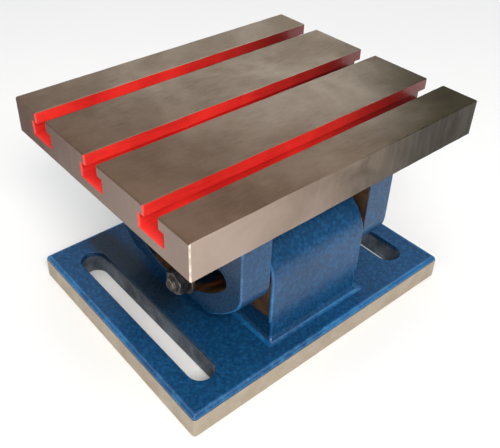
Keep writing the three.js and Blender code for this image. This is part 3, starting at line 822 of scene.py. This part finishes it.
def arc_slot():
    """Counter-clockwise outline of the clamping slot, which is centred on the pivot."""
    down = 1.5 * math.pi
    half = ARC_W / 2
    start, end = down - ARC_HALF_ANGLE, down + ARC_HALF_ANGLE
    reach = (ARC_R * math.sin(ARC_HALF_ANGLE), PIVOT_Z - ARC_R * math.cos(ARC_HALF_ANGLE))
    loop = arc((0, PIVOT_Z), ARC_R + half, start, end, 40)
    loop += arc(reach, half, end, end + math.pi, 10)[1:]
    loop += arc((0, PIVOT_Z), ARC_R - half, end, start, 40)[1:]
    loop += arc((-reach[0], reach[1]), half, start + math.pi, start + 2 * math.pi, 10)[1:-1]
    return loop


def ear(side, sign):
    """Painted outside, milled where it slides on the pedestal and inside its slot."""
    paint, milled, edge_paint_highlight = range(3)
    skin = Skin("x")
    inner, outer = sign * ear_low.x, sign * ear_high.x
    edge, lip, burr = mm(1.1), mm(0.8), mm(0.35)
    outline = ear_outline()
    levels = [(inset(outline, burr), inner), (outline, inner + sign * burr)]
    levels += [(inset(outline, i), outer - sign * d) for i, d in rounding(edge)]
    # The outer edge's rounding takes the lighter edge blue, partly a painted highlight.
    walls = [skin.stack(levels, [paint, paint] + [edge_paint_highlight] * (len(levels) - 3))]
    slot = arc_slot()
    levels = [(inset(slot, -burr), inner), (slot, inner + sign * burr)]
    levels += [(inset(slot, -i), outer - sign * d) for i, d in rounding(lip, 3)]
    walls.append(skin.stack(levels, [milled] * 2 + [paint] * (len(levels) - 3)))
    bore = arc((0, PIVOT_Z), BUSH_HOLE_R, 0, 2 * math.pi, 40)[:-1]
    levels = [(bore, inner), (bore, outer - sign * burr), (inset(bore, -burr), outer)]
    walls.append(skin.stack(levels, milled))
    skin.fill([rings[0] for rings in walls], milled)
    skin.fill([rings[-1] for rings in walls], paint)
    return skin.done(f"{side}_ear_cast", [blue, pad_iron, edge_blue])


SIDES = (("left", -1), ("right", 1))

for side, sign in SIDES:
    stands_for(ear(side, sign), "table", "blue_paint", f"{side}_ear")


# ---- Clamps -------------------------------------------------------------------

THREAD_PITCH = mm(1.5)
THREAD_DEPTH = mm(0.85)
THREAD_START_X = mm(64)
STUD_R = (stud_high.z - stud_low.z) / 2
NUT_FLATS = nut_high.y - nut_low.y


def thread_radius(along, crest):
    """The radius, as a function of the angle, at one station of a right-hand thread."""
    steepness = 2.6

    def radius(angle):
        phase = (along / THREAD_PITCH - angle / (2 * math.pi)) % 1.0
        climb = min(abs(phase - 0.5) * steepness, 1.0)
        return crest - THREAD_DEPTH * (1 - climb)
    return radius


def clamp_stud(side, sign):
    end = stud_high.x
    chamfer, chamfer_slope = mm(1.2), 0.9
    profile = [
        (0.0, stud_low.x),
        (STUD_R - mm(1), stud_low.x),
        (STUD_R, stud_low.x + mm(1)),
        (STUD_R, THREAD_START_X - mm(0.5)),
    ]
    steps_per_turn = 8
    count = round((end - THREAD_START_X) / THREAD_PITCH * steps_per_turn)
    for k in range(count + 1):
        along = THREAD_START_X + (end - THREAD_START_X) * k / count
        crest = STUD_R - max(0.0, chamfer - (end - along)) * chamfer_slope
        profile.append((thread_radius(along, crest), along))
    profile += [(STUD_R - THREAD_DEPTH - chamfer * chamfer_slope, end), (0.0, end)]
    placed = [(r, sign * along) for r, along in profile]
    return spun(f"{side}_threaded_stud", "x", CLAMP_AXIS, placed, 36, oily_steel, crease=50)


def clamp_washer(side, sign):
    inner, outer = STUD_R + mm(0.2), (washer_high.z - washer_low.z) / 2
    near, far = sign * washer_low.x, sign * washer_high.x
    ease = sign * mm(0.4)
    profile = [
        (inner, near),
        (outer - mm(0.2), near),
        (outer, near + ease / 2),
        (outer, far - ease),
        (outer - mm(0.4), far),
        (inner + mm(0.3), far),
        (inner, far - ease / 2),
    ]
    return spun(f"{side}_plain_washer", "x", CLAMP_AXIS, profile, 56, oily_steel, closed=True)


def hexagon_radius(flats, limit=math.inf):
    """A hexagon's radius, as a function of the angle, held inside a circle of radius limit."""
    def radius(angle):
        across = (angle + math.pi / 6) % (math.pi / 3) - math.pi / 6
        return min(flats / 2 / math.cos(across), limit)
    return radius


def clamp_nut(side, sign):
    """The chamfer is a cone that cuts the hexagon's corners in curves."""
    near, far = nut_low.x, nut_high.x
    bore, bore_chamfer = STUD_R + mm(0.25), mm(0.7)
    face_r = NUT_FLATS / 2 * 0.955
    cone = math.tan(math.radians(62))
    drops = [mm(d) for d in (0, 0.15, 0.35, 0.6, 0.9, 1.2)]
    cut = [(hexagon_radius(NUT_FLATS, face_r + d * cone), d) for d in drops]
    profile = [(bore, near + bore_chamfer), (bore + bore_chamfer, near)]
    profile += [(radius, near + d) for radius, d in cut]
    profile += [(radius, far - d) for radius, d in reversed(cut)]
    profile += [(bore + bore_chamfer, far), (bore, far - bore_chamfer)]
    placed = [(r, sign * along) for r, along in profile]
    return spun(f"{side}_hex_nut", "x", CLAMP_AXIS, placed, 72, black_steel, closed=True, crease=24)


for side, sign in SIDES:
    stands_for(clamp_stud(side, sign), "base", "steel", f"{side}_clamp_stud")
    stands_for(clamp_washer(side, sign), "base", "steel", f"{side}_clamp_washer")
    stands_for(clamp_nut(side, sign), f"{side}_nut", "black_steel", f"{side}_clamp_nut")


# ---- Screws that hold the ears to the table -----------------------------------

def socket_screw(name, node):
    """Countersunk, with a hexagon socket, painted over with the slot."""
    low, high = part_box(node)
    centre = (low + high) / 2
    head_r = (high.x - low.x) / 2
    shank_r, head_h = mm(3), mm(3.4)
    socket, socket_depth = mm(4), mm(2.3)
    profile = [
        (0.0, low.z),
        (shank_r - mm(0.6), low.z),
        (shank_r, low.z + mm(0.6)),
        (shank_r, high.z - head_h),
        (head_r, high.z - mm(0.4)),
        (head_r - mm(0.1), high.z - mm(0.05)),
        (head_r - mm(0.3), high.z),
        (hexagon_radius(socket + mm(0.4)), high.z),
        (hexagon_radius(socket), high.z - mm(0.3)),
        (hexagon_radius(socket), high.z - socket_depth),
        (0.0, high.z - socket_depth - mm(0.4)),
    ]
    return spun(name, "z", (centre.x, centre.y, 0), profile, 36, red)


for side, _ in SIDES:
    for number in range(1, 5):
        node = f"{side}_ear_screw_{number}"
        stands_for(socket_screw(f"{node}_socket", node), "table", "black_steel", node)


# ---- Angle scale --------------------------------------------------------------

def on_scale(radius, angle):
    """A point of the scale's plane, Y and Z, at an angle from straight down."""
    return (radius * math.sin(angle), PIVOT_Z - radius * math.cos(angle))


def scale_plate():
    """Ring segment below the pivot, with the two screw holes."""
    skin = Skin("x")
    down = 1.5 * math.pi
    loop = arc((0, PIVOT_Z), SCALE_R_OUT, down - SCALE_HALF_ANGLE, down + SCALE_HALF_ANGLE, 36)
    loop += arc((0, PIVOT_Z), SCALE_R_IN, down + SCALE_HALF_ANGLE, down - SCALE_HALF_ANGLE, 30)
    near, far = scale_low.x, scale_high.x
    ease = mm(0.25)
    levels = [(loop, near), (loop, far - ease), (inset(loop, ease), far)]
    walls = [skin.stack(levels)]
    middle = (SCALE_R_IN + SCALE_R_OUT) / 2
    for sign in (-1, 1):
        hole = arc(on_scale(middle, sign * SCALE_SCREW_ANGLE), SCALE_HOLE_R, 0, 2 * math.pi, 16)[:-1]
        walls.append(skin.stack([(hole, near), (hole, far)]))
    skin.fill([rings[0] for rings in walls])
    skin.fill([rings[-1] for rings in walls])
    return skin.done("angle_scale_plate", [scale_finish])


def scale_marks():
    """One line a degree, longer at fives and tens."""
    skin = Skin("x")
    outer = SCALE_R_OUT - mm(0.9)
    sunk, proud = scale_high.x - mm(0.1), scale_high.x + mm(0.03)
    for degree in range(-SCALE_DEGREES, SCALE_DEGREES + 1):
        length = mm(4.4) if degree % 10 == 0 else mm(3.2) if degree % 5 == 0 else mm(2.0)
        half = mm(0.13) if degree % 5 == 0 else mm(0.09)
        angle = math.radians(degree)
        slip = half / outer
        corners = [
            on_scale(outer - length, angle - slip),
            on_scale(outer, angle - slip),
            on_scale(outer, angle + slip),
            on_scale(outer - length, angle + slip),
        ]
        rings = skin.stack([(corners, sunk), (corners, proud)])
        skin.fill([rings[0]])
        skin.fill([rings[1]])
    return skin.done("scale_lines", [engraving])


def scale_numbers():
    """0 to 30 either way, upright when read from the right-hand end."""
    made = []
    for degree in range(-SCALE_DEGREES, SCALE_DEGREES + 1, 10):
        text = bpy.data.curves.new("digits", "FONT")
        text.body = str(abs(degree))
        text.size = mm(3.1)
        text.extrude = mm(0.03)
        text.resolution_u = 3
        text.align_x = "CENTER"
        text.align_y = "CENTER"
        source = bpy.data.objects.new("digits", text)
        bpy.context.scene.collection.objects.link(source)
        bpy.context.view_layer.update()
        seen = source.evaluated_get(bpy.context.evaluated_depsgraph_get())
        data = bpy.data.meshes.new_from_object(seen)
        y, z = on_scale(SCALE_R_IN + mm(3.4), math.radians(degree))
        turn = Matrix(((0, 0, 1, scale_high.x), (1, 0, 0, y), (0, 1, 0, z), (0, 0, 0, 1)))
        tilt = Matrix.Rotation(math.radians(degree), 4, "Z")
        data.transform(turn @ tilt)
        made.append(data)
        bpy.data.objects.remove(source)
    mesh = bmesh.new()
    for data in made:
        mesh.from_mesh(data)
    return make_object("scale_numbers", mesh, [engraving])


stands_for(scale_plate(), "table", "scale_plate", "angle_scale")
stands_for(scale_marks(), "table", "scale_plate")
stands_for(scale_numbers(), "table", "scale_plate")


def domed_screw(name, node, body, slot_width):
    """A cheese head with a turned edge and a driver slot."""
    low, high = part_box(node)
    centre = (low + high) / 2
    head_r = (high.z - low.z) / 2
    head_h = min(head_r * 0.7, (high.x - low.x) * 0.3)
    bottom = high.x - head_h
    profile = [
        (0.0, bottom),
        (head_r - mm(0.15), bottom),
        (head_r, bottom + mm(0.15)),
        (head_r, high.x - mm(0.5)),
        (head_r - mm(0.2), high.x - mm(0.15)),
        (head_r - mm(0.7), high.x),
        (0.0, high.x),
    ]
    piece = spun(name, "x", (0, centre.y, centre.z), profile, 40, steel)
    cutter_mesh = bmesh.new()
    bmesh.ops.create_cube(cutter_mesh, size=1.0)
    size = Vector((head_h, slot_width, head_r * 3))
    bmesh.ops.scale(cutter_mesh, vec=size, verts=cutter_mesh.verts)
    place = Vector((high.x + head_h * 0.05, centre.y, centre.z))
    bmesh.ops.translate(cutter_mesh, vec=place, verts=cutter_mesh.verts)
    cutter = make_object("cutter", cutter_mesh, [])
    cut = piece.modifiers.new("driver_slot", "BOOLEAN")
    cut.object = cutter
    cut.solver = "EXACT"
    bpy.context.view_layer.update()
    seen = piece.evaluated_get(bpy.context.evaluated_depsgraph_get())
    piece.data = bpy.data.meshes.new_from_object(seen)
    piece.modifiers.remove(cut)
    bpy.data.objects.remove(cutter)
    stands_for(piece, body, "steel", node)


for number in (1, 2):
    domed_screw(f"scale_screw_{number}_head", f"scale_screw_{number}", "table", mm(0.6))
domed_screw("pointer_screw_head", "pointer_screw", "base", mm(1.1))


# ---- Parts whose CAD shape stays ----------------------------------------------

KEPT = {
    "tilt_shaft": steel,
    "shaft_set_screw": black_steel,
    "pointer": black_steel,
    "left_bush": bronze,
    "right_bush": bronze,
    "left_thrust_washer": bronze,
    "right_thrust_washer": bronze,
}
for side, _ in SIDES:
    for number in (1, 2):
        KEPT[f"{side}_dowel_{number}"] = steel

for name, material in KEPT.items():
    data = nodes[name].data
    data.materials.clear()
    data.materials.append(material)
    easing = nodes[name].modifiers.new("eased_edges", "BEVEL")
    easing.width = mm(0.15)
    easing.segments = 2
    easing.limit_method = "ANGLE"
    easing.angle_limit = math.radians(40)


# ---- Floor, light and camera --------------------------------------------------

def floor():
    mesh = bmesh.new()
    bmesh.ops.create_grid(mesh, x_segments=1, y_segments=1, size=3.0)
    piece = make_object("floor", mesh, [pale_floor()])


def soft_light(name, place, towards, size, power):
    """A square lamp with a slightly warm light."""
    data = bpy.data.lights.new(name, "AREA")
    data.shape = "SQUARE"
    data.size = size
    data.energy = power
    data.color = (1.0, 0.97, 0.93)
    lamp = bpy.data.objects.new(name, data)
    lamp.location = place
    lamp.rotation_euler = (Vector(towards) - Vector(place)).to_track_quat("-Z", "Y").to_euler()
    bpy.context.scene.collection.objects.link(lamp)


def sky():
    """Bright overhead and dim towards the horizon."""
    dim, bright = 0.2, 1.55
    dim_until, bright_from = 0.52, 0.95
    world = bpy.data.worlds.new("studio")
    bpy.context.scene.world = world
    world.use_nodes = True
    tree = world.node_tree
    back = tree.nodes["Background"]
    direction = tree.nodes.new("ShaderNodeTexCoord").outputs["Generated"]
    split = tree.nodes.new("ShaderNodeSeparateXYZ")
    tree.links.new(direction, split.inputs[0])
    ramp = tree.nodes.new("ShaderNodeMapRange")
    ramp.interpolation_type = "SMOOTHSTEP"
    ramp.inputs["From Min"].default_value = dim_until
    ramp.inputs["From Max"].default_value = bright_from
    ramp.inputs["To Min"].default_value = dim
    ramp.inputs["To Max"].default_value = bright
    tree.links.new(split.outputs["Z"], ramp.inputs["Value"])
    tree.links.new(ramp.outputs[0], back.inputs["Strength"])
    back.inputs["Color"].default_value = rgb(0.97, 0.98, 1.0)


VIEW_AZIMUTH = math.radians(-40.08)
VIEW_ELEVATION = math.radians(36.29)
VIEW_ROLL = math.radians(1.11)
VIEW_DISTANCE = 0.5559
VIEW_TARGET = Vector((0.0086, 0.0279, 0.060))
VIEW_LENS = 49.28
VIEW_SHIFT = (0.0408, -0.055)


def camera():
    """Stands VIEW_DISTANCE from the target, at the photo's azimuth, elevation and roll."""
    data = bpy.data.cameras.new("camera")
    data.lens = VIEW_LENS
    data.shift_x, data.shift_y = VIEW_SHIFT
    data.clip_start = 0.01
    a, e, roll = VIEW_AZIMUTH, VIEW_ELEVATION, VIEW_ROLL
    back = Vector((math.sin(a) * math.cos(e), -math.cos(a) * math.cos(e), math.sin(e)))
    right = Vector((math.cos(a), math.sin(a), 0))
    up = back.cross(right)
    across = right * math.cos(roll) + up * math.sin(roll)
    upright = up * math.cos(roll) - right * math.sin(roll)
    place = VIEW_TARGET + back * VIEW_DISTANCE
    piece = bpy.data.objects.new("camera", data)
    piece.matrix_world = Matrix((
        (across.x, upright.x, back.x, place.x),
        (across.y, upright.y, back.y, place.y),
        (across.z, upright.z, back.z, place.z),
        (0, 0, 0, 1),
    ))
    bpy.context.scene.collection.objects.link(piece)
    bpy.context.scene.camera = piece


floor()
sky()
soft_light("key", place=(-0.45, -0.95, 1.05), towards=(0, 0, 0.08), size=0.5, power=13)
soft_light("corner", place=(-0.8, -0.3, 0.4), towards=(-0.1, -0.1, 0.05), size=0.3, power=0.9)
camera()
bpy.context.scene.view_settings.view_transform = "Standard"
